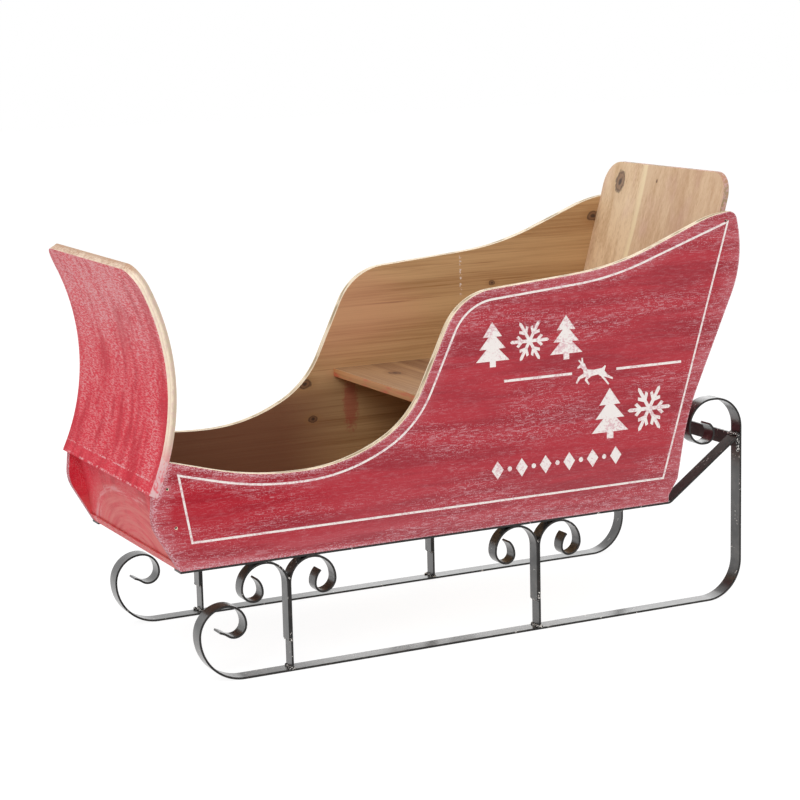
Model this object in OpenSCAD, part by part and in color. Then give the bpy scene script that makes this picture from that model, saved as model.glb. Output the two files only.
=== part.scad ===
// Decorative wooden sleigh on a flat-bar iron frame.
// X runs forward, Y to the sleigh's left, Z up. The runners stand on z = 0
// and the origin is under the middle of the sleigh's length and width.

/* [Overall] */
// Length from the dash's front lip to the back of the rear uprights
overall_l = 924; // [840:1:1020]
// Width over the outer faces of the side panels
body_w = 346; // [300:1:420]
// Height of the body's underside above the ground
ride_h = 157; // [150:1:200]

/* [Boards] */
// Thickness of the side panels
panel_t = 12; // [9:0.5:15]
// Thickness of the floor board
floor_t = 12; // [9:0.5:15]
// Thickness of the seat
seat_t = 12; // [9:0.5:18]
// Thickness of the back board
back_t = 9; // [6:0.5:15]
// Thickness of the lower front board
front_t = 12; // [9:0.5:15]

/* [Side panel] */
// Height of the low rail beside the foot well, above the body's underside
low_rail_h = 112.5; // [105:0.5:125]
// Height of the arm rail at its front end
arm_h = 326; // [300:1:350]
// Height of the rear top corner
crest_h = 412; // [395:1:440]
// Distance from the rear uprights to the panel's heel, at the bottom
heel_gap = 125; // [112:1:150]
// Distance from the heel forward to the foot of the arm's sweep
sweep_back = 411; // [395:1:425]
// Distance from the dash's front lip back to the panel's toe, at the bottom
toe_gap = 51; // [43:1:59]
// Run of the sweep's lower curve, ahead of its foot
sweep_run = 99; // [85:1:115]
// Rise of the sweep's lower curve
sweep_rise = 50; // [40:1:60]
// Run of the sweep's upper curve, behind its foot
arm_set = 79; // [70:1:90]
// Distance from the heel forward to the arm rail's rear end
arm_back = 86; // [70:1:100]
// Rise of the arm rail from its front end to its rear end
arm_rise = 19; // [8:1:30]
// Distance from the heel back to the rear top corner
crest_back = 114; // [105:1:120]
// Length of the crest ahead of the rear top corner
crest_l = 42; // [34:1:50]
// Drop along the crest, towards the front
crest_drop = 6; // [2:1:12]
// Distance from the heel back to the rear edge's fullest point
tail_back = 129; // [122:1:134]
// Drop from the rear top corner to that point
tail_drop = 73; // [60:1:90]
// Distance from the heel back to the rear edge's waist
waist_back = 33; // [26:1:40]
// Height of the waist
waist_h = 126; // [110:1:140]
// Distance from the heel back to the step above it
step_back = 16; // [10:1:22]
// Height of the step above the heel
step_h = 33; // [26:1:44]
// Height of the cut-off corner at the heel
heel_h = 10; // [6:1:14]
// Depth of the rounded chin ahead of the toe
chin_h = 64; // [56:1:72]
// Rake of the toe from upright
toe_rake = 29.5; // [26:0.5:33]
// Distance from the toe back to where the low rail levels out
shoulder_l = 109; // [95:1:125]
// Height of the low rail's front end above the dash's lower end
shoulder_h = 50; // [40:1:60]

/* [Dash] */
// Radius of the dash's hollow front face
dash_r = 297; // [280:1:335]
// Thickness of the bent dash
dash_t = 12; // [9:0.5:15]
// Height of the dash's rearmost line above the body's underside
dash_mid_h = 238; // [232:1:248]
// Angle from the rearmost line up to the top lip
dash_up = 31.5; // [27:0.5:36]
// Angle from the rearmost line down to the lower end
dash_down = 26.5; // [24.5:0.5:28.5]
// Radius of the dash's rounded top corners
dash_corner_r = 32; // [10:1:60]

/* [Seat and back] */
// Height of the seat's top face above the body's underside
seat_h = 183; // [150:1:215]
// Distance from the heel forward to the seat's front edge
seat_front = 368; // [330:1:390]
// Distance from the heel forward to the back board's foot
back_set = 15; // [10:1:24]
// Lean of the back board from upright
back_lean = 15.5; // [12:0.5:18]
// Height of the back board's top above the body's underside
back_h = 463; // [430:1:500]
// Radius of the back board's rounded top corners
back_corner_r = 36; // [12:1:50]
// Distance from the panel's toe forward to the lower front board's foot
front_set = 3.5; // [2:0.5:6]
// Lean of the lower front board
front_lean = 10.5; // [8:0.5:13]

/* [Iron frame] */
// How far the bars' outer edges lie inside the panels' outer faces
bar_inset = 0.5; // [0:0.5:20]
// Width of the runners' and body bars' flat bar
bar_w = 23; // [18:1:30]
// Thickness of the runners' and body bars' flat bar
bar_t = 3; // [2.5:0.5:6]
// Width of the posts' and scroll strips' flat bar
strip_w = 20; // [14:1:23]
// Thickness of the posts' and scroll strips' flat bar
strip_t = 3; // [2:0.5:4]
// Height of the scroll strips' lower ends above the ground
strip_foot = 42; // [30:1:58]
// Distance from the rear uprights to the rear posts
rear_post_gap = 338; // [320:1:380]
// Distance from the panel's toe back to the front posts
front_post_gap = 154; // [140:1:190]
// Distance from the front posts to the end of the straight runner
runner_nose = 69; // [60:1:90]
// Distance from the body's underside down to the top of the runners' noses
nose_drop = 54; // [50:1:70]
// Radius of the runner's rear bend
rear_bend_r = 55; // [30:1:70]
// Distance from the braces' upper ends to where the uprights start to curl
curl_gap = 13; // [8:1:24]
// Radius of the rear scroll's first bend
tail_r = 45; // [40:1:50]
// Radius of the posts' and scroll strips' first bend
strip_r = 33; // [28:1:36]
// Height of the rear cross bar
cross_h = 20; // [14:1:26]
// Thickness of the rear cross bar
cross_t = 4; // [3:0.5:6]
// Distance from the braces' upper ends down to the middle of the rear cross bar
cross_drop = 8; // [0:0.5:8]
// Slope of the body bar's rear brace
brace_slope = 35.5; // [30:0.5:40]
// Radius of the bend between the body bar and its brace
brace_bend_r = 10; // [6:1:40]

/* [Hidden] */
$fn = 96;

paint_red = [0.69, 0.20, 0.25];
paint_pink = [0.78, 0.33, 0.36];
cedar = [0.66, 0.47, 0.32];
iron = [0.20, 0.19, 0.18];

// Most that a bend may depart from a true arc
bend_sag = 0.05;
far = 2000;
left = 1;
right = -1;

inside_w = body_w - 2 * panel_t;
track = body_w - bar_w - 2 * bar_inset;
half_l = overall_l / 2;
floor_top = ride_h + floor_t;

// Dash: a slice of a ring about this centre, its hollow side forward
dash_cx = half_l + dash_r * cos(dash_up);
dash_cz = ride_h + dash_mid_h;
dash_back_r = dash_r + dash_t;
dash_end_x = dash_cx - dash_back_r * cos(dash_down);
dash_end_z = dash_cz - dash_back_r * sin(dash_down);

// Iron frame: centre lines of the bars
upright_x = -half_l + bar_t / 2;
sole_z = bar_t / 2;
body_bar_z = ride_h - bar_t / 2;
cross_face = upright_x + bar_t / 2;
brace_face = cross_face + cross_t;

// Side panel: where its bottom edge runs
heel_x = upright_x + heel_gap;
toe_x = half_l - toe_gap;
sweep_x = heel_x + sweep_back;

// Posts, and the end of the straight runner
rear_post_x = upright_x + rear_post_gap;
front_post_x = toe_x - front_post_gap;
nose_x = front_post_x + runner_nose;

// Height at which the brace's centre line meets the cross bar
brace_end_z = body_bar_z + (heel_x - brace_face) * tan(brace_slope);
// Height at which the rear uprights start to curl
curl_z = brace_end_z + curl_gap;

// Back board: its front face starts at the floor this far forward of the heel
back_foot_x = heel_x + back_set;
seat_top = ride_h + seat_h;
function back_x(z) = back_foot_x - (z - floor_top) * tan(back_lean);

// Unit vector at an angle in the side view
function dir(a) = [cos(a), sin(a)];
function reversed(v) = [for (i = [len(v) - 1 : -1 : 0]) v[i]];
// How many straight parts stand for an arc
function arc_parts(r, turn) = max(2, ceil(abs(turn) / (2 * acos(1 - bend_sag / max(r, 1)))));

// Outline with rounded corners: rows are [x, z, corner radius]
function half_corner(a, p, b) = acos((a - p) * (b - p) / norm(a - p) / norm(b - p)) / 2;

function corner_arc(a, p, b, r) =
    let (
        u = (a - p) / norm(a - p),
        v = (b - p) / norm(b - p),
        half = half_corner(a, p, b),
        c = p + (u + v) / norm(u + v) * (r / sin(half)),
        s = p + u * r / tan(half) - c,
        start = atan2(s[1], s[0]),
        swing = (u[0] * v[1] - u[1] * v[0] > 0 ? -1 : 1) * (180 - 2 * half),
        n = arc_parts(r, swing)
    )
    [for (i = [0 : n]) c + r * dir(start + swing * i / n)];

// Two neighbouring corners share the side between them, so their arcs never cross
function rounded_outline(rows) =
    let (
        n = len(rows),
        pt = [for (q = rows) [q[0], q[1]]],
        reach = [for (i = [0 : n - 1])
            rows[i][2] / tan(half_corner(pt[(i + n - 1) % n], pt[i], pt[(i + 1) % n]))],
        share = [for (i = [0 : n - 1])
            let (j = (i + 1) % n)
            min(1, 0.98 * norm(pt[j] - pt[i]) / max(1, reach[i] + reach[j]))]
    )
    [for (i = [0 : n - 1])
        let (before = (i + n - 1) % n, r = rows[i][2] * min(share[before], share[i]))
        each r == 0 ? [pt[i]] : corner_arc(pt[before], pt[i], pt[(i + 1) % n], r)];

// Bent flat bar: from a start [x, z, heading], rows are [straight length, bend radius, turn]
function after(s, q) =
    let (
        p = [s[0], s[1]] + q[0] * dir(s[2]),
        side = q[2] < 0 ? -1 : 1,
        c = p + side * q[1] * dir(s[2] + 90),
        e = c - side * q[1] * dir(s[2] + q[2] + 90)
    )
    [e[0], e[1], s[2] + q[2]];

function along(s, q, off) =
    let (
        p = [s[0], s[1]] + q[0] * dir(s[2]),
        side = q[2] < 0 ? -1 : 1,
        c = p + side * q[1] * dir(s[2] + 90),
        n = arc_parts(q[1], q[2])
    )
    q[2] == 0
        ? [p + off * dir(s[2] + 90)]
        : [for (i = [q[0] > 0 ? 0 : 1 : n])
            let (h = s[2] + q[2] * i / n)
            c + (off - side * q[1]) * dir(h + 90)];

function edge(s, rows, off, i = 0) =
    i == len(rows) ? [] : concat(along(s, rows[i], off), edge(after(s, rows[i]), rows, off, i + 1));

function arm(s, rows, t) =
    concat(
        [[s[0], s[1]] + t / 2 * dir(s[2] + 90)],
        edge(s, rows, t / 2),
        reversed(edge(s, rows, -t / 2)),
        [[s[0], s[1]] - t / 2 * dir(s[2] + 90)]
    );

// Stands a side-view outline upright, w wide and centred on y
module upright_slab(w, y = 0) {
    translate([0, y + w / 2, 0])
        rotate([90, 0, 0])
            linear_extrude(w)
                children();
}

// A flat bar bent both ways from one start point
module bent_bar(s, rows_ahead, rows_behind, t, w, y) {
    back = [s[0], s[1], s[2] + 180];
    ahead = arm(s, rows_ahead, t);
    behind = arm(back, rows_behind, t);
    upright_slab(w, y)
        polygon(concat(ahead, [for (i = [1 : len(behind) - 2]) behind[i]]));
}

// Corners of the side panel's outline, by the top and back along the bottom: [x, z, corner radius].
// The first lies inside the dash's place, which is cut away.
rail_z = ride_h + low_rail_h;
arm_z = ride_h + arm_h;
crest_z = ride_h + crest_h;
chin_x = toe_x + chin_h * tan(toe_rake);
panel_corners = [
    [dash_end_x, dash_end_z + shoulder_h, 0],
    [toe_x - shoulder_l, rail_z, 440],
    [sweep_x + sweep_run, rail_z, 255],
    [sweep_x, rail_z + sweep_rise, 140],
    [sweep_x - arm_set, arm_z, 85],
    [heel_x + arm_back, arm_z + arm_rise, 450],
    [heel_x - crest_back + crest_l, crest_z - crest_drop, 200],
    [heel_x - crest_back, crest_z, 14],
    [heel_x - tail_back, crest_z - tail_drop, 160],
    [heel_x - waist_back, ride_h + waist_h, 350],
    [heel_x - step_back, ride_h + step_h, 10],
    [heel_x - bar_t / 4, ride_h + heel_h, 0],
    [heel_x, ride_h, 0],
    [toe_x, ride_h, bar_t],
    [chin_x, ride_h + chin_h, 50]
];

// Everything on the dash's side of its rear face, above its lower end
module dash_seat_cut() {
    intersection() {
        translate([dash_cx, dash_cz])
            circle(r = dash_back_r);
        polygon([
            [dash_cx, dash_cz],
            [dash_cx, dash_cz] + far * dir(180 + dash_down),
            [dash_cx - far, dash_cz + far],
            [dash_cx, dash_cz + far]
        ]);
    }
}

module side_panel(side) {
    color(paint_red)
        upright_slab(panel_t, side * (body_w - panel_t) / 2)
            difference() {
                polygon(rounded_outline(panel_corners));
                dash_seat_cut();
            }
}

module floor_board() {
    front = toe_x + floor_t * tan(toe_rake);
    color(cedar)
        upright_slab(inside_w)
            polygon([[heel_x, ride_h], [toe_x, ride_h], [front, floor_top], [heel_x, floor_top]]);
}

module front_board() {
    // The board leans forward behind the dash's lower end, and the dash cuts off its top
    foot = toe_x + front_set;
    back = front_t / cos(front_lean);
    top = dash_cz;
    reach = (top - floor_top) * tan(front_lean);
    color(paint_pink)
        upright_slab(inside_w)
            difference() {
                polygon([[foot - back, floor_top], [foot, floor_top], [foot + reach, top], [foot + reach - back, top]]);
                dash_seat_cut();
            }
}

module dash() {
    color(paint_pink)
        intersection() {
            upright_slab(body_w)
                intersection() {
                    difference() {
                        translate([dash_cx, dash_cz])
                            circle(r = dash_back_r);
                        translate([dash_cx, dash_cz])
                            circle(r = dash_r);
                    }
                    polygon([
                        [dash_cx, dash_cz],
                        [dash_cx, dash_cz] + far * dir(180 + dash_down),
                        [dash_cx - far, dash_cz + far]
                    ]);
                }
            // The lip is cut square to the dash's faces
            translate([dash_cx, 0, dash_cz])
                rotate([0, dash_up, 0])
                    round_top_block(body_w, -far / 2, 0, dash_corner_r);
        }
}

// A long block along X with its two upper edges rounded
module round_top_block(w, low, top, r) {
    translate([-far / 2, 0, 0])
        rotate([90, 0, 90])
            linear_extrude(far)
                polygon(rounded_outline([[-w / 2, low, 0], [w / 2, low, 0], [w / 2, top, r], [-w / 2, top, r]]));
}

module seat() {
    front = heel_x + seat_front;
    color(cedar)
        upright_slab(inside_w)
            polygon([
                [back_x(seat_top - seat_t), seat_top - seat_t],
                [front, seat_top - seat_t],
                [front, seat_top],
                [back_x(seat_top), seat_top]
            ]);
}

module back_board() {
    top = ride_h + back_h;
    depth = back_t / cos(back_lean);
    color(cedar)
        intersection() {
            upright_slab(inside_w)
                polygon([
                    [back_x(floor_top) - depth, floor_top],
                    [back_x(floor_top), floor_top],
                    [back_x(top), top],
                    [back_x(top) - depth, top]
                ]);
            round_top_block(inside_w, ride_h, top, back_corner_r);
        }
}

// How each scroll winds in after its first bend, in shares of that bend's radius:
// [straight, radius, turn]
nose_scroll = [[0, 0.62, 90], [0, 0.44, 90], [0, 0.26, 125], [0.05, 0.49, -20]];
tail_scroll = [[0.09, 0.87, 90], [0, 0.54, 90], [0.07, 0.31, 90], [0, 0.38, 55]];
strip_scroll = [[0, 1, 90], [0, 0.53, 90], [0, 0.36, 90], [0, 0.75, 48]];

// Bends of a scroll from its first radius, turning left or right
function wound(scroll, r, hand) = [for (q = scroll) [q[0] * r, q[1] * r, hand * q[2]]];

// The nose's first two bends take it from the ground to its top
nose_r = (ride_h - nose_drop - bar_t) / (1 + nose_scroll[0][1]);

// Bends of the runner ahead of its middle, and behind it
nose_rows = concat([[nose_x, nose_r, 90]], wound(nose_scroll, nose_r, left));
tail_rows = concat(
    [
        [-upright_x - rear_bend_r, rear_bend_r, -90],
        [curl_z - sole_z - rear_bend_r, tail_r, -90]
    ],
    wound(tail_scroll, tail_r, right)
);

module runner(side) {
    color(iron)
        bent_bar([0, sole_z, 0], nose_rows, tail_rows, bar_t, bar_w, side * track / 2);
}

// The bar under the body turns up behind it as a brace and ends on the rear cross bar
module body_bar(side) {
    reach = (heel_x - upright_x) / cos(brace_slope) + bar_w;
    color(iron)
        difference() {
            bent_bar(
                [0, body_bar_z, 0],
                [[toe_x, 0, 0]],
                [[-heel_x, brace_bend_r, -brace_slope], [reach, 0, 0]],
                bar_t, bar_w, side * track / 2
            );
            translate([brace_face - far, -far / 2, 0])
                cube([far, far, far]);
        }
}

module rear_cross_bar() {
    color(iron)
        translate([cross_face, -(track + bar_w) / 2, brace_end_z - cross_drop - cross_h / 2])
            cube([cross_t, track + bar_w, cross_h]);
}

// Height at which the posts and strips start to bend
strip_rise = ride_h - bar_t - strip_t / 2 - strip_r;

// A bar that stands up from a height and rolls into a scroll under the body bar:
// ahead is 1 where it rolls to the front, or -1 to the rear
module scroll_bar(x, low, ahead, side) {
    rows = concat(
        [[strip_rise - low, strip_r, -90 * ahead]],
        wound(strip_scroll, strip_r, -ahead)
    );
    color(iron)
        upright_slab(strip_w, side * track / 2)
            polygon(arm([x, low, 90], rows, strip_t));
}

// A post stands on the runner and rolls over to the rear
module post(x, side) {
    scroll_bar(x, bar_t, -1, side);
}

// A strip is welded to the post's front face and rolls over to the front
module scroll_strip(x, side) {
    scroll_bar(x + strip_t, strip_foot, 1, side);
}

side_panel(left);  // side_panel_left
side_panel(right);  // side_panel_right
floor_board();
front_board();
dash();
seat();
back_board();
runner(left);  // runner_left
runner(right);  // runner_right
body_bar(left);  // body_bar_left
body_bar(right);  // body_bar_right
rear_cross_bar();
post(front_post_x, left);  // post_front_left
post(front_post_x, right);  // post_front_right
post(rear_post_x, left);  // post_rear_left
post(rear_post_x, right);  // post_rear_right
scroll_strip(front_post_x, left);  // scroll_front_left_fore
scroll_strip(front_post_x, right);  // scroll_front_right_fore
scroll_strip(rear_post_x, left);  // scroll_rear_left_fore
scroll_strip(rear_post_x, right);  // scroll_rear_right_fore
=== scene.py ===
"""Looks of a decorative wooden sleigh: whitewashed paint, bare cedar, routed ornament, wrought iron."""

from math import pi, radians, tau

import bmesh
import bpy
from bpy.props import FloatProperty, FloatVectorProperty, PointerProperty
from bpy.types import Operator, Panel, PropertyGroup
from mathutils import Matrix, Vector, kdtree, noise


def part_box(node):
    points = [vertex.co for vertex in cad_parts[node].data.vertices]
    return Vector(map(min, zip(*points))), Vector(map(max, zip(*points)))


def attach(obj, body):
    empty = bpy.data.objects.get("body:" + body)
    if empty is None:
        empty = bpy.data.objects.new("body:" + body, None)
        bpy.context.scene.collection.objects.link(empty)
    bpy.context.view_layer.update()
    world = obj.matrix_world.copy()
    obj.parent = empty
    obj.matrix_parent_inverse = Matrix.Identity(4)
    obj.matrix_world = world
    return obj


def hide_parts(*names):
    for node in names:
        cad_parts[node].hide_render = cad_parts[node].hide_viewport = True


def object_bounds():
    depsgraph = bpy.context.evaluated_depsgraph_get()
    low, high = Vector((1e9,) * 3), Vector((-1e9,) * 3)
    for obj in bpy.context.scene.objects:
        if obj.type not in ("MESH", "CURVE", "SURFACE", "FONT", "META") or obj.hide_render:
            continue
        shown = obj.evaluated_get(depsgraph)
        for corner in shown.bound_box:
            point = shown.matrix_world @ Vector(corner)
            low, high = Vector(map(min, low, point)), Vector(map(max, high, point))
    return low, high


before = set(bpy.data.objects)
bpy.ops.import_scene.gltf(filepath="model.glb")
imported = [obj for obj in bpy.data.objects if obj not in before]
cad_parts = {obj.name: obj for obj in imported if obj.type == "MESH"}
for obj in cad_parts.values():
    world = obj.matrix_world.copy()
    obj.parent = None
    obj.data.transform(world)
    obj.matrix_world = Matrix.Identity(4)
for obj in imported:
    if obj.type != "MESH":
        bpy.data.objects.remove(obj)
CAD_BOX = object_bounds()

bl_info = {
    "name": "Decorative sleigh",
    "version": (1, 0, 0),
    "blender": (4, 5, 0),
    "location": "3D View > Sidebar > Sleigh",
    "description": "Dresses the sleigh's frame with painted boards, cedar, ornament and wrought iron",
    "category": "Object",
}

MM = 0.001
# Points closer than this are one point
TINY = 0.001 * MM
SIDES = {"left": 1, "right": -1}
ENDS = ("front", "rear")
# Edges that turn more than this are corners, and faces that turn less are one flat face
CORNER = radians(35)
FLAT = radians(0.1)


# Settings


def linear(code):
    """Linear colour of a six-figure web colour."""
    parts = [int(code[i:i + 2], 16) / 255 for i in (0, 2, 4)]
    return tuple(p / 12.92 if p <= 0.04045 else ((p + 0.055) / 1.055) ** 2.4 for p in parts)


def colour(name, text, code):
    """Colour property with a web colour as its default."""
    return FloatVectorProperty(
        name=name, description=text, default=linear(code), subtype="COLOR", size=3, min=0, max=1
    )


def length(name, text, mm):
    """Length property with its default in millimetres."""
    return FloatProperty(name=name, description=text, default=mm * MM, subtype="DISTANCE", unit="LENGTH")


def angle(name, text, degrees):
    """Angle property with its default in degrees."""
    return FloatProperty(name=name, description=text, default=radians(degrees), subtype="ANGLE")


class SleighColours(PropertyGroup):
    """Colours of the sleigh's finishes."""

    red: colour("Red", "Paint of the side panels", "AE2330")
    deep_red: colour("Deep red", "Side panel paint where it lies thick", "971424")
    front_red: colour("Front red", "Paint of the dash and the lower front board", "DA2B3E")
    wash: colour("Whitewash", "Thin white rubbed over the red paint", "D8AAB1")
    front_deep: colour("Deep front red", "Paint of the dash where it lies thick", "C41D31")
    front_wash: colour("Front whitewash", "Thin white rubbed over the dash", "E5AAAD")
    wiped: colour("Wiped paint", "Paint wiped thin on the lower front board", "D87470")
    chalk: colour("Chalk", "White paint of the routed line and motifs", "F0E9E5")
    cedar: colour("Cedar", "Light rings of the bare inside faces", "CCA576")
    cedar_dark: colour("Cedar rings", "Dark rings of the bare inside faces", "A3774A")
    # Deep cedar is partly darker wood and partly painted shade of the foot well under the seat
    cedar_deep_and_shade: colour("Deep cedar", "Bare inside faces towards the foot well", "7B4A35")
    cedar_rosy: colour("Rosy cedar", "Warmer stretch of the bare inside faces", "DE9F80")
    back_pale: colour("Back board", "Light rings of the back board", "EACDA8")
    back_dark: colour("Back board rings", "Dark rings of the back board", "C8A37C")
    stave: colour("Stave", "Warmer staves of the back board", "B98E70")
    sap: colour("Sapwood", "Pale streak in the back board", "F2DDB4")
    seat_pale: colour("Seat", "Light rings of the seat board", "A27C58")
    seat_dark: colour("Seat rings", "Dark rings of the seat board", "775134")
    seat_edge: colour("Seat edge", "Sawn front edge of the seat board", "D39A68")
    ply: colour("Plywood edge", "Bare edges of the boards", "F3E3C8")
    ply_dark: colour("Plywood layers", "Darker layers in the boards' edges", "D8C0A0")
    ply_core: colour("Plywood core", "Dark core that shows in the boards' edges", "94805F")
    knot: colour("Knot", "Wood of a knot", "6E4A33")
    heart: colour("Knot heart", "Dark ring and heart of a knot", "33211A")
    iron: colour("Iron", "Blackened iron", "161312")
    worn: colour("Worn iron", "Blackened iron where the black is thin", "38322E")
    bright: colour("Bright iron", "Welds and chips where the black is off", "D2CEC8")


class SleighSizes(PropertyGroup):
    """Sizes of the small things that the frame doesn't hold."""

    board_round: length("Board edge", "Rounding of the boards' edges", 0.8)
    iron_round: length("Bar edge", "Rounding of the bars' edges", 0.5)
    line_w: length("Line width", "Width of the routed line", 3)
    line_depth: length("Line depth", "Depth of the routed line", 0.9)
    line_inset: length("Line inset", "From the panel's top edge to the routed line", 11.5)
    line_foot: length("Line foot", "From the panel's bottom edge to the routed line", 34)
    line_front_head: length("Line front, head", "From the dash's lip to the line's front top corner", 51.5)
    line_front_foot: length("Line front, foot", "From the dash's lip to the line's front low corner", 67.5)
    line_rear_head: length("Line rear, head", "From the uprights to the line's rear top corner", 23.5)
    line_straight: length("Line straight", "Length of the line's straight top end at the rear", 42)
    line_ease: length("Line ease", "Length over which the line leaves the top edge at the rear", 150)
    line_drop: length("Line drop", "How far the line has left the top edge at the rear", 9)
    line_rear_foot: length("Line rear, foot", "From the uprights to the line's rear bottom corner", 134.5)
    motif_depth: length("Motif depth", "Depth of the routed motifs", 0.8)
    motif_slope: length("Motif wall", "Run of a motif's sloped wall", 0.5)
    wear_grid: length("Wear grid", "Spacing of the points that hold the wear along the panels' edges", 10)
    wear_reach: length("Wear reach", "Furthest from an edge that wear is measured", 60)
    screw_r: length("Screw radius", "Radius of a sunk screw head", 2.2)
    bead: length("Weld bead", "Radius of a weld bead's lump", 2.5)
    weld_run: length("Weld run", "Length of the weld up a strip's outer edge", 10)
    fork_drop: length("Fork weld", "From the strips' crowns down to the weld in the fork", 27)


class SleighStage(PropertyGroup):
    """Camera and light."""

    camera_place: FloatVectorProperty(
        name="Camera", description="Where the camera stands", default=(1.405, 2.816, 0.889),
        subtype="TRANSLATION", unit="LENGTH", size=3
    )
    camera_turn: angle("Turn", "How far the view is turned from square on to the left side", 26.45)
    camera_tilt: angle("Tilt", "How far the view looks down", 10.36)
    camera_roll: angle("Roll", "How far the picture is rolled", -1.35)
    focal: FloatProperty(
        name="Focal length", description="Focal length in mm", default=101.25, unit="CAMERA"
    )
    ambient: FloatProperty(
        name="Ambient", description="Strength of the light from all round", default=0.55
    )
    floor_glow: FloatProperty(
        name="Floor glow", description="Plain white in the floor that the camera sees", default=0.9
    )
    floor_size: length("Floor", "From the floor's middle to its edge", 12000)
    floor_drop: length("Floor drop", "How far the floor lies under the runners", 0.2)


# Shader maths


class Wire:
    """One socket of a material's nodes. Arithmetic on it adds Math nodes."""

    def __init__(self, tree, socket=None):
        self.tree = tree
        self.socket = socket

    def node(self, kind, settings=None, inputs=None, out=0):
        """Adds a node, sets its settings, then its sockets' values or links, and returns one output."""
        made = self.tree.nodes.new(kind)
        for key, value in (settings or {}).items():
            setattr(made, key, value)
        for key, value in (inputs or {}).items():
            if isinstance(value, Wire):
                self.tree.links.new(value.socket, made.inputs[key])
            else:
                made.inputs[key].default_value = value
        return Wire(self.tree, made.outputs[out] if made.outputs else None)

    def math(self, operation, first, second):
        """One Math node."""
        return self.node("ShaderNodeMath", {"operation": operation}, {0: first, 1: second})

    def __add__(self, other):
        return self.math("ADD", self, other)

    __radd__ = __add__

    def __sub__(self, other):
        return self.math("SUBTRACT", self, other)

    def __rsub__(self, other):
        return self.math("SUBTRACT", other, self)

    def __mul__(self, other):
        return self.math("MULTIPLY", self, other)

    __rmul__ = __mul__


def rgba(value):
    """A colour as a socket's value, or a link as it is."""
    return value if isinstance(value, Wire) else (*value, 1)


def scaled(place, factors):
    """A place with each axis multiplied by its own factor."""
    return place.node("ShaderNodeVectorMath", {"operation": "MULTIPLY"}, {0: place, 1: factors})


def axis(place, name):
    """One coordinate of a place."""
    return place.node("ShaderNodeSeparateXYZ", inputs={"Vector": place}, out=name)


def stored(place, name):
    """A value that is stored on the mesh."""
    return place.node("ShaderNodeAttribute", {"attribute_name": name}, out="Fac")


def cloudy(place, cells, detail=3, roughness=0.55, shift=0):
    """Noise from 0 to 1, with a number of cells to the metre for all axes or for each of them."""
    cells = cells if isinstance(cells, (tuple, list)) else (cells,) * 3
    inputs = {0: scaled(place, cells), 1: (shift,) * 3}
    moved = place.node("ShaderNodeVectorMath", {"operation": "ADD"}, inputs)
    return place.node(
        "ShaderNodeTexNoise", {"noise_dimensions": "3D"},
        {"Vector": moved, "Scale": 1, "Detail": detail, "Roughness": roughness}
    )


def ripple(noise_value, amount):
    """Noise turned to a ripple about 0, with an amount from its lowest to its highest."""
    return (noise_value - 0.5) * amount


def band(value, low, high):
    """Smooth step from 0 at low to 1 at high, either of which may be the larger."""
    return value.node(
        "ShaderNodeMapRange", {"interpolation_type": "SMOOTHSTEP"},
        {"Value": value, "From Min": low, "From Max": high}
    )


def held(value):
    """Value kept from 0 to 1."""
    return value.node("ShaderNodeClamp", inputs={"Value": value})


def larger(first, second):
    """The larger of two values."""
    return first.math("MAXIMUM", first, second)


def apart(value, centre):
    """How far a value lies from a centre."""
    return value.math("ABSOLUTE", value - centre, 0)


def mixed(share, first, second):
    """Colour between two colours."""
    return share.node(
        "ShaderNodeMix", {"data_type": "RGBA"}, {0: share, 6: rgba(first), 7: rgba(second)}, out=2
    )


def spot(place, centre, stretch):
    """Distance from a centre in millimetres, with each axis multiplied by its own factor."""
    there = tuple(c * MM * s for c, s in zip(centre, stretch))
    inputs = {0: scaled(place, stretch), 1: there}
    return place.node("ShaderNodeVectorMath", {"operation": "DISTANCE"}, inputs, out="Value")


def new_material(name):
    """An empty material, and a place in it on the piece's own coordinates."""
    made = bpy.data.materials.new(name)
    made.use_nodes = True
    made.node_tree.nodes.clear()
    place = Wire(made.node_tree).node("ShaderNodeTexCoord", out="Object")
    return made, place


def surface(made, place, base, roughness, height=None, depth=0.3, fixed=None):
    """Finishes a material with its colour, roughness and relief in millimetres."""
    inputs = {"Base Color": base, "Roughness": roughness, **(fixed or {})}
    if height is not None:
        inputs["Normal"] = place.node("ShaderNodeBump", inputs={"Height": height, "Distance": depth * MM})
    shader = place.node("ShaderNodeBsdfPrincipled", inputs=inputs)
    place.node("ShaderNodeOutputMaterial", inputs={"Surface": shader})
    return made


# Finishes

MATT = {"Specular IOR Level": 0.12}

# Heights in millimetres: the dash's lower end, the fold in its paint, and where its top edge begins
DASH_END = 264
DASH_FOLD = 278
DASH_TOP = 548

# Middles of marks, (x, y, z) in millimetres
WIPED_AT = (0, 30, 142)
ROSY_AT = (30, -161, 420)
SMEAR_AT = (6, -161, 284)
SPECKS_AT = (-183, -161, 462.5)

# Knots of each wood, rows of ((x, y, z), radius) in millimetres
KNOTS = {
    "cedar": (
        ((-417, -161, 536), 7.5), ((-237, -161, 446), 4), ((68, -161, 267), 5), ((79, -161, 321), 7)
    ),
    "seat": (((-25, -72, 340), 8),),
    "back": (((-437, -114, 592), 12), ((-439, -15, 598), 2)),
}


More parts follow.
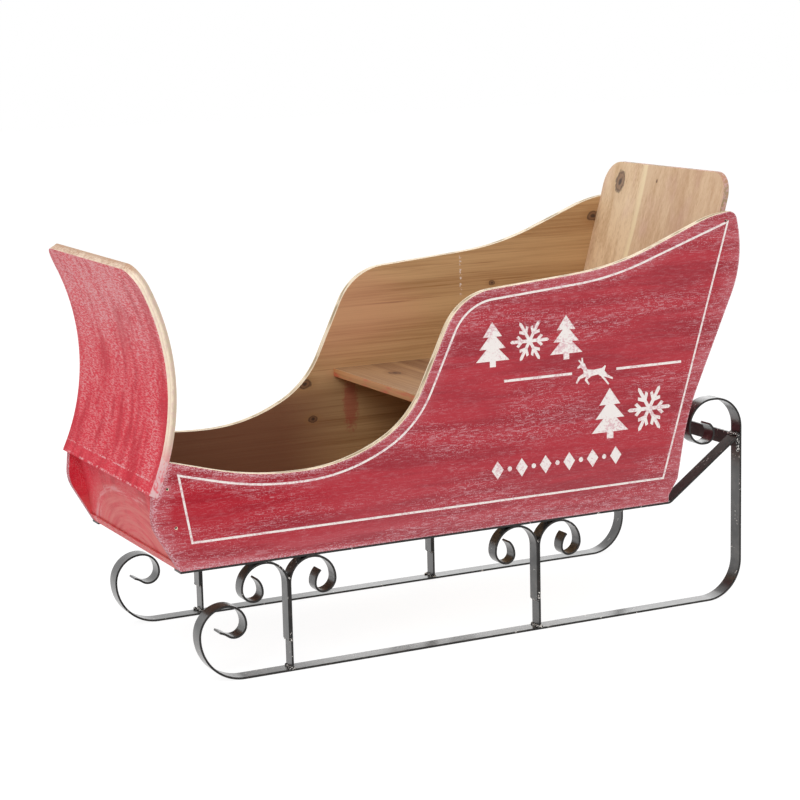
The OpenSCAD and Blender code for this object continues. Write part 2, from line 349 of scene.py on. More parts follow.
def panel_paint(hues):
    """Red paint in slow bands, with fine pale flecks that gather in patches and along the edges."""
    made, place = new_material("panel_paint")
    rim = stored(place, "rim")
    tone = cloudy(place, (5, 9, 64), 5, 0.6)
    fleck = cloudy(place, (90, 60, 680), 3, 0.65, 3)
    speck = cloudy(place, (430, 300, 620), 2, 0.6, 11)
    x = axis(place, "X")
    ahead = band(x, 80 * MM, 300 * MM)
    behind = band(x, -300 * MM, -420 * MM)
    low = band(axis(place, "Z"), 260 * MM, 180 * MM)
    patch = cloudy(place, (6, 9, 24), 4, 0.55, 7) - ahead * 0.06 + behind * 0.08
    edge = band(rim, 32 * MM, 3 * MM)
    zone = band(patch + edge * 0.2, 0.42, 0.66)
    rubbed = band(fleck, 0.5, 0.66) * (0.14 + 0.46 * zone)
    veil = edge * (0.05 + 0.22 * band(tone, 0.36, 0.64)) + (1 - ahead) * 0.11 + low * 0.09
    dust = band(speck, 0.58, 0.66) * (0.12 + 0.6 * zone)
    scuff = band(rim, 2 * MM + ahead * 5 * MM, 0.3 * MM) * band(speck, 0.42, 0.58)
    cover = held(rubbed * 0.7 + veil * 0.55 + dust * 0.8 + scuff * 0.6)
    red = mixed(band(tone, 0.34, 0.62), hues.deep_red, hues.red)
    base = mixed(cover, red, hues.wash)
    relief = fleck * 0.6 + tone * 0.4 + dust * 0.3
    return surface(made, place, base, 0.5 + cover * 0.25, relief, 0.25, MATT)


def front_paint(hues):
    """Brighter red paint on bent plywood: fine hairs across it, streaks up it, paler towards its lip."""
    made, place = new_material("front_paint")
    height = axis(place, "Z")
    hair = cloudy(place, (660, 120, 660), 3, 0.65)
    streak = cloudy(place, (12, 48, 12), 2, 0.5, 5)
    patch = cloudy(place, (9, 20, 9), 4, 0.6, 2)
    speck = cloudy(place, (420, 300, 420), 2, 0.6, 4)
    head = band(height, 380 * MM, 545 * MM)
    worn = band(patch + ripple(streak, 0.15) + head * 0.12, 0.38, 0.64)
    rubbed = band(hair, 0.44, 0.6) * (0.1 + 0.58 * worn + 0.24 * head)
    brushed = band(streak, 0.42, 0.66) * (0.02 + 0.26 * head)
    # Less whitewash under the fold in the dash's paint, and chips on the fold and on the dash's end
    under = band(height, (DASH_FOLD + 1) * MM, (DASH_FOLD - 1) * MM)
    fold = band(apart(height, DASH_FOLD * MM), 1.4 * MM, 0.4 * MM)
    end = band(apart(height, DASH_END * MM), 2 * MM, 0.5 * MM)
    chips = larger(fold, end) * band(speck, 0.42, 0.54) * band(cloudy(place, 60, 3, 0.6, 8), 0.44, 0.56)
    cover = held((rubbed + brushed + head * 0.1) * (1 - under * 0.55) + chips)
    thin = band(patch + ripple(streak, 0.4) + ripple(speck, 0.3), 0.34, 0.56)
    base = mixed(cover, mixed(thin, hues.front_deep, hues.front_red), hues.front_wash)
    # The lower board is wiped thin inside a rough arc, with arcs of the brush in it
    below = band(height, (DASH_END - 1) * MM, (DASH_END - 5) * MM)
    wipe = spot(place, WIPED_AT, (0, 5.6, 11))
    swing = place.node("ShaderNodeCombineXYZ", inputs={"X": wipe * 15, "Y": axis(place, "Y") * 12})
    brush = cloudy(swing, 1, 3, 0.6)
    away = wipe + ripple(speck, 0.12) + ripple(patch, 0.3)
    wiped = below * band(away, 1.4, 0.8) * (0.35 + 0.65 * band(brush, 0.34, 0.64))
    base = mixed(held(wiped), base, hues.wiped)
    smear = below * band(apart(away, 1.02), 0.06, 0.01) * band(brush, 0.42, 0.56)
    base = mixed(smear * 0.5, base, hues.front_wash)
    return surface(made, place, base, 0.5 + cover * 0.2, hair + speck * 0.4, 0.2, MATT)


def bare_wood(name, light, dark, hues, along, knots=(), rings=30, stains=None):
    """Oiled softwood. Along is 0, 1 or 2 for the axis of its grain; stains changes its colour."""
    made, place = new_material(name)

    def fibres(across, lengthways, detail, shift):
        cells = [across] * 3
        cells[along] = lengthways
        return cloudy(place, cells, detail, 0.6, shift)

    sway = fibres(9, 1.2, 3, 0)
    ring = fibres(rings, 0.9, 4, 3)
    line = fibres(rings * 5, 4, 3, 6)
    pore = fibres(430, 6, 3, 5)
    tone = band(ring, 0.34, 0.68) * 0.65 + ripple(pore, 1.7) + ripple(sway, 0.8)
    tone = held(tone + band(line, 0.6, 0.7) * 0.5)
    base = mixed(tone, light, dark)
    base = mixed(band(line, 0.69, 0.75) * band(pore, 0.42, 0.54) * 0.6, base, hues.knot)
    if stains:
        base = stains(place, base, hues)
    stretch = [1, 1, 1]
    stretch[along] = 0.7
    for centre, radius in knots:
        size = radius * MM
        uneven = ripple(line, 0.4) + ripple(cloudy(place, 110, 2), 0.7)
        away = spot(place, centre, stretch) + uneven * size
        bark = band(apart(away, size * 0.92), size * 0.22, size * 0.06)
        heart = band(away, size * 0.5, size * 0.2)
        base = mixed(band(away, size * 2.6, size) * 0.4, base, dark)
        base = mixed(band(away, size * 1.05, size * 0.8) * 0.75, base, hues.knot)
        base = mixed(larger(bark * 0.7, heart) * 0.8, base, hues.heart)
    return surface(made, place, base, 0.5 + tone * 0.15, pore + ring * 0.5, 0.15)


def cedar_stains(place, base, hues):
    """Stains inside: a warmer stretch, darker wood towards the foot well that is partly painted shade of
    that recess, a smear of paint, white specks.
    """
    x = axis(place, "X")
    z = axis(place, "Z")
    speck = cloudy(place, 260, 2, 0.6, 9)
    rosy = spot(place, ROSY_AT, (5.5, 0, 10)) + ripple(cloudy(place, (5, 5, 20), 3, 0.6, 4), 0.8)
    base = mixed(band(rosy, 1.1, 0.3) * 0.4, base, hues.cedar_rosy)
    # Darker low down and towards the front: partly darker wood, partly painted shade of the recess under the
    # seat and behind the dash
    well = band(z, 345 * MM, 285 * MM) * band(x, -30 * MM, 130 * MM)
    base = mixed(well * 0.85, base, hues.cedar_deep_and_shade)
    smear = spot(place, SMEAR_AT, (70, 70, 22)) + ripple(speck, 1.2)
    base = mixed(band(smear, 1.1, 0.5) * 0.5, base, hues.red)
    across = band(apart(x, SPECKS_AT[0] * MM), 3 * MM, 0.5 * MM)
    upright = band(apart(z, SPECKS_AT[2] * MM), 37.5 * MM, 22.5 * MM)
    return mixed(across * upright * band(speck, 0.56, 0.6) * 0.8, base, hues.chalk)


def edge_stains(place, base, hues):
    """Smears of red paint on the seat's front edge."""
    smear = cloudy(place, (60, 16, 90), 3, 0.6, 2)
    return mixed(band(smear, 0.46, 0.64) * 0.45, base, hues.front_red)


def back_stains(place, base, hues):
    """Staves of the back board: a pale streak of sapwood, warmer staves and a trace of red paint."""
    y = axis(place, "Y")
    drift = cloudy(place, (30, 30, 3), 2, 0.5, 2)
    bent = y + ripple(drift, 12 * MM)
    base = mixed(band(bent, -49 * MM, -44 * MM) * 0.3, base, hues.stave)
    base = mixed(band(bent, 35 * MM, 38 * MM) * band(drift, 0.4, 0.6) * 0.3, base, hues.stave)
    streak = band(bent, -62 * MM, -50 * MM) * band(bent, -44 * MM, -48 * MM)
    base = mixed(streak * 0.75, base, hues.sap)
    rosy = cloudy(place, (14, 16, 8), 3, 0.6, 6)
    end = band(y, 150 * MM, 161 * MM) * band(rosy, 0.36, 0.6)
    return mixed(band(rosy, 0.5, 0.7) * 0.16 + end * 0.4, base, hues.wash)


def ply_edge(hues):
    """Sanded plywood edge of a side panel: pale outer layers and a dark core that shows in places."""
    made, place = new_material("ply_edge")
    layer = cloudy(place, (30, 460, 30), 3, 0.6)
    gap = cloudy(place, (22, 60, 22), 4, 0.6, 4)
    base = mixed(band(layer, 0.38, 0.68), hues.ply, hues.ply_dark)
    middle = (CAD_BOX[1].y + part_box("side_panel_left")[0].y) / 2
    core = band(apart(apart(axis(place, "Y"), 0), middle), 4 * MM, 2.2 * MM)
    base = mixed(core * band(gap + ripple(layer, 0.3), 0.46, 0.58) * 0.85, base, hues.ply_core)
    return surface(made, place, base, 0.6, layer, 0.1)


def bent_edge(hues):
    """Sanded edge of the dash: pale layers in front, darker ones behind, rubbed on top, painted below."""
    made, place = new_material("bent_edge")
    fleck = cloudy(place, (300, 200, 150), 3, 0.65, 4)
    patch = cloudy(place, 26, 3, 0.6, 2)
    layer = stored(place, "depth") + ripple(fleck, 0.2) + ripple(patch, 0.25)
    base = mixed(band(layer, 0.5, 0.75) * 0.6, hues.ply, hues.ply_core)
    seam = larger(band(apart(layer, 0.28), 0.07, 0.02), band(apart(layer, 0.55), 0.07, 0.02))
    base = mixed(seam * 0.45, base, hues.ply_dark)
    base = mixed(0.08 + band(fleck, 0.46, 0.6) * 0.25, base, hues.wash)
    height = axis(place, "Z")
    top = band(height + ripple(patch, 30 * MM), (DASH_TOP - 8) * MM, (DASH_TOP + 8) * MM)
    base = mixed(top * (0.5 + 0.5 * band(fleck, 0.42, 0.58)), base, hues.stave)
    painted = band(height + ripple(fleck, 60 * MM), (DASH_END + 76) * MM, (DASH_END + 21) * MM)
    base = mixed(painted * 0.85, base, hues.wash)
    base = mixed(painted * band(fleck + ripple(patch, 0.6), 0.4, 0.6) * 0.75, base, hues.front_red)
    return surface(made, place, base, 0.6, layer + fleck, 0.1)


def rubbed_edge(hues):
    """Board edge with red paint and whitewash rubbed off it again."""
    made, place = new_material("rubbed_edge")
    fleck = cloudy(place, (240, 160, 240), 3, 0.65)
    patch = cloudy(place, 26, 3, 0.6, 4)
    base = mixed(band(patch, 0.36, 0.64), hues.stave, hues.ply_core)
    base = mixed(band(fleck, 0.46, 0.62) * 0.5, base, hues.wash)
    base = mixed(band(patch + ripple(fleck, 0.5), 0.5, 0.4) * 0.1, base, hues.red)
    return surface(made, place, base, 0.6, fleck, 0.15)


def chalk_paint(hues):
    """White paint in the routing, thin enough that the red shows through in flecks."""
    made, place = new_material("chalk_paint")
    thin = cloudy(place, (300, 300, 420), 3, 0.65)
    patch = cloudy(place, 45, 4, 0.6, 5)
    share = band(thin + ripple(patch, 0.8), 0.5, 0.68) * 0.8
    base = mixed(share, hues.chalk, hues.wash)
    return surface(made, place, base, 0.7, thin, 0.2)


def wrought_iron(hues):
    """Satin black flat bar, glossier on its wide faces, with mill marks and small bright chips."""
    made, place = new_material("wrought_iron")
    mill = cloudy(place, 70, 4, 0.6)
    fine = cloudy(place, 700, 2, 0.5, 3)
    cluster = band(cloudy(place, 30, 2, 0.5, 2), 0.52, 0.62)
    chip = band(cloudy(place, 190, 2, 0.5, 8), 0.66, 0.69) * cluster
    base = mixed(band(mill, 0.44, 0.7) * 0.6, hues.iron, hues.worn)
    base = mixed(chip * 0.8, base, hues.bright)
    gloss = {
        "Specular IOR Level": 0.35,
        "Coat Weight": stored(place, "wide") * (0.25 + mill * 0.5 + fine * 0.4),
        "Coat Roughness": 0.2,
        "Coat IOR": 1.7,
    }
    roughness = 0.2 + mill * 0.12 + fine * 0.12
    return surface(made, place, base, roughness, mill * 0.5 + fine * 0.5, 0.08, gloss)


def weld_metal(hues):
    """Bead of weld, half covered by the black."""
    made, place = new_material("weld_metal")
    lump = cloudy(place, 420, 2, 0.5)
    base = mixed(band(lump, 0.5, 0.58), hues.iron, hues.bright)
    return surface(made, place, base, 0.3, lump, 0.3, {"Metallic": 0.4})


FINISHES = {}


def make_finishes(hues):
    """Makes each finish once."""

    def wood(name, light, dark, along, **more):
        return bare_wood(name, light, dark, hues, along, **more)

    light, dark = hues.cedar, hues.cedar_dark
    FINISHES.update(
        panel=panel_paint(hues),
        front=front_paint(hues),
        cedar=wood("cedar", light, dark, 0, knots=KNOTS["cedar"], stains=cedar_stains),
        seat=wood("seat_wood", hues.seat_pale, hues.seat_dark, 1, knots=KNOTS["seat"]),
        bend=wood("dash_wood", light, dark, 1, stains=cedar_stains),
        edge=wood("seat_edge", hues.seat_edge, dark, 1, stains=edge_stains),
        back=wood(
            "back_wood", hues.back_pale, hues.back_dark, 2, knots=KNOTS["back"], rings=45, stains=back_stains
        ),
        ply=ply_edge(hues),
        bent=bent_edge(hues),
        rubbed=rubbed_edge(hues),
        chalk=chalk_paint(hues),
        iron=wrought_iron(hues),
        weld=weld_metal(hues),
    )


# Shaping


def merged_copy(node):
    """A copy of a frame node's mesh with its triangles joined into whole faces."""
    bm = bmesh.new()
    bm.from_mesh(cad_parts[node].data)
    bmesh.ops.remove_doubles(bm, verts=bm.verts[:], dist=TINY)
    bmesh.ops.dissolve_limit(bm, angle_limit=FLAT, verts=bm.verts[:], edges=bm.edges[:])
    return bm


def soften(bm, width):
    """Rounds every corner edge."""
    corners = [e for e in bm.edges if e.is_manifold and e.calc_face_angle() > CORNER]
    bmesh.ops.bevel(
        bm, geom=corners, offset=width, offset_type="OFFSET", segments=2, profile=0.5,
        affect="EDGES", material=-1, clamp_overlap=True
    )


def finish_piece(bm, name, finishes, nodes=()):
    """Makes an object from a bmesh, smooths it and sets it on the frame."""
    mesh = bpy.data.meshes.new(name)
    bm.to_mesh(mesh)
    bm.free()
    # The frame's own normals don't suit the rounded edges
    if "custom_normal" in mesh.attributes:
        mesh.attributes.remove(mesh.attributes["custom_normal"])
    for finish in finishes:
        mesh.materials.append(FINISHES[finish])
    mesh.shade_smooth()
    mesh.set_sharp_from_angle(angle=CORNER)
    made = bpy.data.objects.new(name, mesh)
    bpy.context.scene.collection.objects.link(made)
    made.modifiers.new("Weighted normals", "WEIGHTED_NORMAL").keep_sharp = True
    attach(made, "root")
    if nodes:
        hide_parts(*nodes)
    return made


# Motifs: outlines of unit height or radius, about their own centre

# From the nose over the antlers and along the back, then by the hind and fore legs
DEER = (
    (0.58, 0.17), (0.59, 0.22), (0.47, 0.32), (0.55, 0.42), (0.53, 0.46), (0.44, 0.38), (0.44, 0.5),
    (0.39, 0.5), (0.37, 0.35), (0.31, 0.3), (0.24, 0.13), (0, 0.09), (-0.3, 0.12), (-0.41, 0.2),
    (-0.44, 0.17), (-0.39, 0.03), (-0.5, -0.1), (-0.7, -0.22), (-0.68, -0.27), (-0.45, -0.18),
    (-0.37, -0.15), (-0.56, -0.4), (-0.52, -0.43), (-0.26, -0.14), (-0.16, -0.07), (0.08, -0.1),
    (0.24, -0.2), (0.15, -0.33), (0.19, -0.37), (0.33, -0.21), (0.28, -0.1), (0.49, -0.15),
    (0.6, -0.29), (0.65, -0.27), (0.56, -0.09), (0.36, 0.02), (0.38, 0.12), (0.46, 0.2),
)


def mirrored(half):
    """Closes a half outline with its mirror image; rows are (sideways, up), from the top down."""
    return [Vector(p) for p in half] + [Vector((-x, z)) for x, z in reversed(half) if x]


def fir():
    """A fir tree of three tiers on a trunk."""
    trunk = 0.075
    # Rows of (half width, half width of what follows below, height)
    tiers = ((0.24, 0.09, 0.17), (0.33, 0.15, -0.1), (0.42, trunk, -0.37))
    half = [(0, 0.5)]
    for wide, narrow, low in tiers:
        half += [(wide, low), (narrow, low)]
    return mirrored(half + [(trunk, -0.5)])


def snowflake():
    """Six arms, each with one pair of barbs."""
    arm = ((0.13, 0.075), (0.36, 0.075), (0.56, 0.27), (0.68, 0.2), (0.56, 0.075), (0.9, 0.075), (1, 0))
    both = [(u, -v) for u, v in arm] + [(u, v) for u, v in reversed(arm) if v]
    points = []
    for i in range(6):
        turned = Matrix.Rotation(i * tau / 6, 2)
        points += [turned @ Vector(p) * 0.5 for p in both]
    return points


def deer():
    """A leaping deer, its head to the front."""
    return [Vector(p) for p in DEER]


def diamond():
    """A tall lozenge."""
    return mirrored([(0, 0.5), (0.36, 0), (0, -0.5)])


def dot():
    """A round dot, turned so that no two of its points are level, which the filling of the face needs."""
    return [Matrix.Rotation((i + 0.3) * tau / 16, 2) @ Vector((0.5, 0)) for i in range(16)]


def rule():
    """A level rule, thirty times as long as it is high."""
    return [Vector(p) for p in ((-15, -0.5), (15, -0.5), (15, 0.5), (-15, 0.5))]


# Rows of (outline, x, z, height) in millimetres
MOTIFS = [
    (fir, -52, 411, 62),
    (snowflake, -110, 411, 62),
    (fir, -168, 411, 62),
    (rule, -123, 359, 3.6),
    (deer, -212, 357, 45),
    (rule, -303, 359, 3.6),
    (fir, -238, 297, 72),
    (snowflake, -303, 297, 72),
]
# A row of lozenges with a dot between each pair
MOTIFS += [(diamond, -57 - i * 38, 236, 26) for i in range(6)]
MOTIFS += [(dot, -76 - i * 38, 236, 7) for i in range(5)]

# Sunk screws in a side panel, rows of (x, z) in millimetres
SCREWS = ((424.3, 267.7), (414.5, 215.5), (-433, 554))


# Boards


def panel_face(face, side, ahead):
    """Finish of a side panel's face; ahead is the plane of the lower front board's rear face."""
    if abs(face.normal.y) < 0.5:
        return "ply" if face.normal.z > 0.2 else "panel"
    if face.normal.y * side > 0:
        return "panel"
    point, way = ahead
    return "front" if (face.calc_center_median() - point).dot(way) > 0 else "cedar"


def dash_face(face):
    """Finish of the dash's face."""
    if abs(face.normal.y) > 0.05 or face.normal.z > 0.7:
        return "bent"
    return "front" if face.normal.x > 0 else "bend"


def front_face(face):
    """Finish of the lower front board's face."""
    return "front" if face.normal.x > 0 else "bend"


def seat_face(face):
    """Finish of the seat's face."""
    return "edge" if face.normal.x > 0.5 else "seat"


def back_face(face):
    """Finish of the back board's face."""
    if abs(face.normal.x) < 0.4:
        return "rubbed"
    return "back" if face.normal.x > 0 else "panel"


def front_plane():
    """A point on the lower front board's rear face, and the way that the board faces."""
    bm = merged_copy("front_board")
    face = min(bm.faces, key=lambda f: f.normal.x)
    plane = face.calc_center_median(), -face.normal
    bm.free()
    return plane


def outward_turn(points):
    """1 if a closed path runs anticlockwise, or else -1."""
    area = sum(points[i - 1].cross(points[i]) for i in range(len(points)))
    return 1 if area > 0 else -1


def line_path(outline, sizes):
    """The routed line's outer edge: along the panel's top edge, then straight down and along its foot."""
    low, high = CAD_BOX
    foot = min(p.y for p in outline) + sizes.line_foot
    front = high.x - sizes.line_front_head
    rear = low.x + sizes.line_rear_head
    count = len(outline)
    turn = outward_turn(outline)
    top = []
    for i, here in enumerate(outline):
        way = outline[(i + 1) % count] - outline[i - 1]
        across = Vector((way.y, -way.x)).normalized() * turn
        inside = here - across * sizes.line_inset
        eased = max(0, 1 - (inside.x - rear) / sizes.line_ease)
        inside.y -= sizes.line_drop * eased ** 2
        if across.y > 0.3 and rear + sizes.line_straight < inside.x < front:
            top.append(inside)
    top.sort(key=lambda p: -p.x)
    ahead = top[0] + (top[0] - top[1]) * ((front - top[0].x) / (top[0].x - top[1].x))
    behind = top[-1] + (top[-1] - top[-2]) * ((top[-1].x - rear) / (top[-2].x - top[-1].x))
    corners = (low.x + sizes.line_rear_foot, high.x - sizes.line_front_foot)
    return [ahead] + top + [behind] + [Vector((x, foot)) for x in corners]


def rout(bm, points, y, side, steps):
    """Sinks a shape by insets of (width, depth); returns its rim, its walls and the face left inside."""
    middle = bm.faces.new([bm.verts.new((p.x, y, p.y)) for p in points])
    middle.normal_update()
    if middle.normal.y * side < 0:
        middle.normal_flip()
    walls = []
    for width, depth in steps:
        walls += bmesh.ops.inset_individual(
            bm, faces=[middle], thickness=width, depth=-depth, use_even_offset=True
        )["faces"]
    rim = [e for face in walls for e in face.edges if e.is_boundary]
    return rim, walls, middle


def cut_line(bm, path, y, side, sizes):
    """Routs a shallow groove inside a closed path; returns its outer and inner edges and its faces."""
    slope = sizes.line_w * 0.2
    down = (slope, sizes.line_depth)
    along = (sizes.line_w - 2 * slope, 0)
    up = (slope, -sizes.line_depth)
    outer, faces, middle = rout(bm, path, y, side, (down, along, up))
    inner = middle.edges[:]
    bmesh.ops.delete(bm, geom=[middle], context="FACES_ONLY")
    return outer, inner, faces


def cut_motifs(bm, y, side, sizes):
    """Routs the motifs as shallow pockets; returns their edges and faces."""
    edges, faces = [], []
    for outline, x, z, height in MOTIFS:
        points = [(Vector((x, z)) + p * height) * MM for p in outline()]
        rim, walls, floor = rout(bm, points, y, side, [(sizes.motif_slope, sizes.motif_depth)])
        edges += rim
        faces += walls + [floor]
    return edges, faces


def cut_screws(bm, y, side, sizes):
    """Sinks the screws; returns their edges, their dark heads and the bare walls round them."""
    edges, heads, walls = [], [], []
    for place in SCREWS:
        points = [Vector(place) * MM + p * sizes.screw_r * 2 for p in dot()]
        rim, around, head = rout(bm, points, y, side, [(sizes.screw_r * 0.3, sizes.screw_r * 0.5)])
        edges += rim
        heads.append(head)
        walls += around
    return edges, heads, walls


def grid_cuts(bm, step, axes=(0, 2)):
    """Cuts a mesh by planes across some of its axes, so that values on its points can vary over it."""
    for number in axes:
        normal = Vector(number == i for i in range(3))
        values = [v.co[number] for v in bm.verts]
        for i in range(1, int((max(values) - min(values)) / step)):
            bmesh.ops.bisect_plane(
                bm, geom=bm.verts[:] + bm.edges[:] + bm.faces[:], dist=TINY,
                plane_co=normal * (min(values) + i * step), plane_no=normal
            )


def mark_rim(bm, outline, sizes):
    """Stores how far each point lies from the panel's outline."""
    fine = []
    for i, here in enumerate(outline):
        step = here - outline[i - 1]
        parts = max(1, int(step.length / MM))
        fine += [outline[i - 1] + step * (k / parts) for k in range(parts)]
    near = kdtree.KDTree(len(fine))
    for i, p in enumerate(fine):
        near.insert((p.x, 0, p.y), i)
    near.balance()
    rim = bm.verts.layers.float.new("rim")
    for v in bm.verts:
        v[rim] = min(near.find((v.co.x, 0, v.co.z))[2], sizes.wear_reach)


def make_side_panel(name, side, sizes):
    """One side panel: paint outside, bare cedar inside, sanded edges, a routed line and routed motifs."""
    node = "side_panel_" + name
    finishes = ("panel", "cedar", "ply", "chalk", "front", "iron")
    ahead = front_plane()
    bm = merged_copy(node)
    inside = max((f for f in bm.faces if f.normal.y * side < -0.99), key=lambda f: f.calc_area())
    geom = [inside] + inside.edges[:] + inside.verts[:]
    bmesh.ops.bisect_plane(bm, geom=geom, dist=TINY, plane_co=ahead[0], plane_no=ahead[1])
    for face in bm.faces:
        face.material_index = finishes.index(panel_face(face, side, ahead))
    soften(bm, sizes.board_round)
    face = max((f for f in bm.faces if f.normal.y * side > 0.99), key=lambda f: f.calc_area())
    outline = [Vector((v.co.x, v.co.z)) for v in face.verts]
    y = face.verts[0].co.y
    border = face.edges[:]
    bmesh.ops.delete(bm, geom=[face], context="FACES_ONLY")
    outer, inner, groove = cut_line(bm, line_path(outline, sizes), y, side, sizes)
    edges, pockets = cut_motifs(bm, y, side, sizes)
    holes, heads, walls = cut_screws(bm, y, side, sizes)
    for faces, finish in ((groove + pockets, "chalk"), (walls, "ply"), (heads, "iron")):
        for made in faces:
            made.material_index = finishes.index(finish)
    # Both panels are filled from the same side, so that they come out alike
    for loops in (border + outer + holes, inner + edges):
        bmesh.ops.triangle_fill(bm, use_beauty=True, edges=loops, normal=(0, 1, 0))
    bmesh.ops.recalc_face_normals(bm, faces=bm.faces[:])
    grid_cuts(bm, sizes.wear_grid)
    mark_rim(bm, outline, sizes)
    finish_piece(bm, node + "_board", finishes, (node,))


def make_board(node, finishes, choose, sizes, cut=None, strips=0):
    """A plain board. Choose gives a face's finish; cut is a plane, and strips a height, to divide it by."""
    bm = merged_copy(node)
    if cut:
        geom = bm.verts[:] + bm.edges[:] + bm.faces[:]
        bmesh.ops.bisect_plane(bm, geom=geom, dist=TINY, plane_co=cut[0], plane_no=cut[1])
    for face in bm.faces:
        face.material_index = finishes.index(choose(face))
    rim = bm.verts.layers.float.new("rim")
    depth = bm.verts.layers.float.new("depth")
    for v in bm.verts:
        v[rim] = sizes.wear_reach
        # 0 at the face with the first finish, 1 behind it
        v[depth] = all(face.material_index for face in v.link_faces)
    soften(bm, sizes.board_round)
    if strips:
        grid_cuts(bm, strips, (2,))
    finish_piece(bm, node + "_board", finishes, (node,))


# Iron


def make_bar(node, sizes):
    """One bar of the iron frame, glossy on its wide faces; the body bars and the cross bar are duller."""
    bm = merged_copy(node)
    soften(bm, sizes.iron_round)
    gloss = 0.2 if "bar" in node else 1
    wide = bm.faces.layers.float.new("wide")
    for face in bm.faces:
        face[wide] = gloss if abs(face.normal.y) < 0.3 else 0
    finish_piece(bm, node + "_bar", ("iron",), (node,))


def add_bead(bm, start, end, radius):
    """A row of uneven lumps of weld from one point to another."""
    start, end = Vector(start), Vector(end)
    count = max(2, round((end - start).length / (radius * 0.8)))
    for i in range(count + 1):
        here = start.lerp(end, i / count)
        size = radius * (0.9 + 0.45 * noise.noise(here * 900))
        off = noise.noise_vector(here * 700) * radius * 0.25
        bmesh.ops.create_icosphere(bm, subdivisions=2, radius=size, matrix=Matrix.Translation(here + off))


def foot_of(node):
    """Lowest and highest corner of a frame node's lowest face."""
    points = [v.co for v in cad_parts[node].data.vertices]
    base = min(p.z for p in points)
    foot = [p for p in points if p.z < base + 0.01 * MM]
    return (Vector(pick(p[i] for p in foot) for i in range(3)) for pick in (min, max))


def weld_rows(sizes):
    """Start and end of each weld: post feet, strip ends, forks, and the rear cross bar's joints."""
    rows = []
    for side, way in SIDES.items():
        for end in ENDS:
            strip = f"scroll_{end}_{side}_fore"
            low, high = foot_of(f"post_{end}_{side}")
            outer = high.y if way > 0 else low.y
            # A little above the ground, which the lumps would reach below
            above = low.z + MM
            for x in (low.x, high.x):
                rows.append(((x, low.y, above), (x, high.y, above)))
            rows.append(((low.x + MM, outer, above), (high.x + 3 * MM, outer, above)))
            low, high = foot_of(strip)
            rows.append(((low.x, low.y, low.z), (low.x, high.y, low.z)))
            rows.append(((low.x, outer, low.z + sizes.bead), (low.x, outer, low.z + sizes.weld_run)))
            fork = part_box(strip)[1].z - sizes.fork_drop
            rows.append(((low.x, low.y, fork), (low.x, high.y, fork)))
        low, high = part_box("rear_cross_bar")
        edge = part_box("runner_" + side)
        inner = edge[0].y if way > 0 else edge[1].y
        outer = edge[1].y if way > 0 else edge[0].y
        rows.append(((high.x, inner, high.z - 2 * MM), (high.x, outer, high.z + MM)))
        rows.append(((low.x, inner, low.z), (low.x, inner, high.z)))
        rows.append(((high.x, outer, low.z - 4 * MM), (high.x, outer, high.z)))
    return rows


# Operators


class SLEIGH_OT_finishes(Operator):
    """Makes the finishes."""

    bl_idname = "sleigh.finishes"
    bl_label = "Finishes"

    def execute(self, context):
        make_finishes(context.scene.sleigh_colours)
        return {"FINISHED"}


class SLEIGH_OT_side_panels(Operator):
    """Makes the painted side panels with their routed line and motifs."""

    bl_idname = "sleigh.side_panels"
    bl_label = "Side panels"

    def execute(self, context):
        for name, side in SIDES.items():
            make_side_panel(name, side, context.scene.sleigh_sizes)
        return {"FINISHED"}


class SLEIGH_OT_front(Operator):
    """Makes the bent dash and the lower front board."""

    bl_idname = "sleigh.front"
    bl_label = "Dash and front board"

    def execute(self, context):
        sizes = context.scene.sleigh_sizes
        finishes = ("front", "bend", "bent")
        make_board("dash", finishes, dash_face, sizes, strips=sizes.wear_grid)
        make_board("front_board", finishes[:2], front_face, sizes)
        return {"FINISHED"}


class SLEIGH_OT_boards(Operator):
    """Makes the floor, the seat and the back board."""

    bl_idname = "sleigh.boards"
    bl_label = "Floor, seat and back"

    def execute(self, context):
        sizes = context.scene.sleigh_sizes
        # The floor is painted ahead of the lower front board
        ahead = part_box("front_board")[0].x + MM

        def floor_face(face):
            shown = face.calc_center_median().x > ahead and face.normal.z > -0.5
            return "front" if shown else "cedar"

        cut = (ahead, 0, 0), (1, 0, 0)
        make_board("floor_board", ("cedar", "front"), floor_face, sizes, cut)
        make_board("seat", ("seat", "edge"), seat_face, sizes)
        make_board("back_board", ("back", "panel", "rubbed"), back_face, sizes)
        return {"FINISHED"}


class SLEIGH_OT_iron(Operator):
    """Makes the runners, bars, posts and scroll strips."""

    bl_idname = "sleigh.iron"
    bl_label = "Iron frame"

    def execute(self, context):
        nodes = ["rear_cross_bar"]
        for side in SIDES:
            nodes += ["runner_" + side, "body_bar_" + side]
            for end in ENDS:
                nodes += [f"post_{end}_{side}", f"scroll_{end}_{side}_fore"]
        for node in nodes:
            make_bar(node, context.scene.sleigh_sizes)
        return {"FINISHED"}


class SLEIGH_OT_welds(Operator):
    """Makes the weld beads that join the iron frame."""

    bl_idname = "sleigh.welds"
    bl_label = "Welds"

    def execute(self, context):
        bm = bmesh.new()
        sizes = context.scene.sleigh_sizes
        # Without a seed of its own, vector noise starts from the time of day
        noise.seed_set(1)
        for start, end in weld_rows(sizes):
            add_bead(bm, start, end, sizes.bead)
        finish_piece(bm, "weld_beads", ("weld",))
        return {"FINISHED"}


# Rows of (name, place, size, power), in metres and watts; each lamp faces the middle of the sleigh
LAMPS = (
    ("key", (2.2, 2.4, 2.5), 1.8, 48),
    ("fill", (-2.4, 2.6, 1.6), 2.2, 22),
    ("top", (0.2, -0.6, 2.8), 2.4, 26),
    ("rim", (-2.0, -2.6, 1.8), 2.0, 14),
)


def seen_share(place):
    """1 for rays that show the stage to the camera, straight or by a reflection."""
    kinds = ("Camera", "Glossy", "Transmission")
    camera, glossy, through = (place.node("ShaderNodeLightPath", out=f"Is {kind} Ray") for kind in kinds)
    return held(camera + glossy + through)


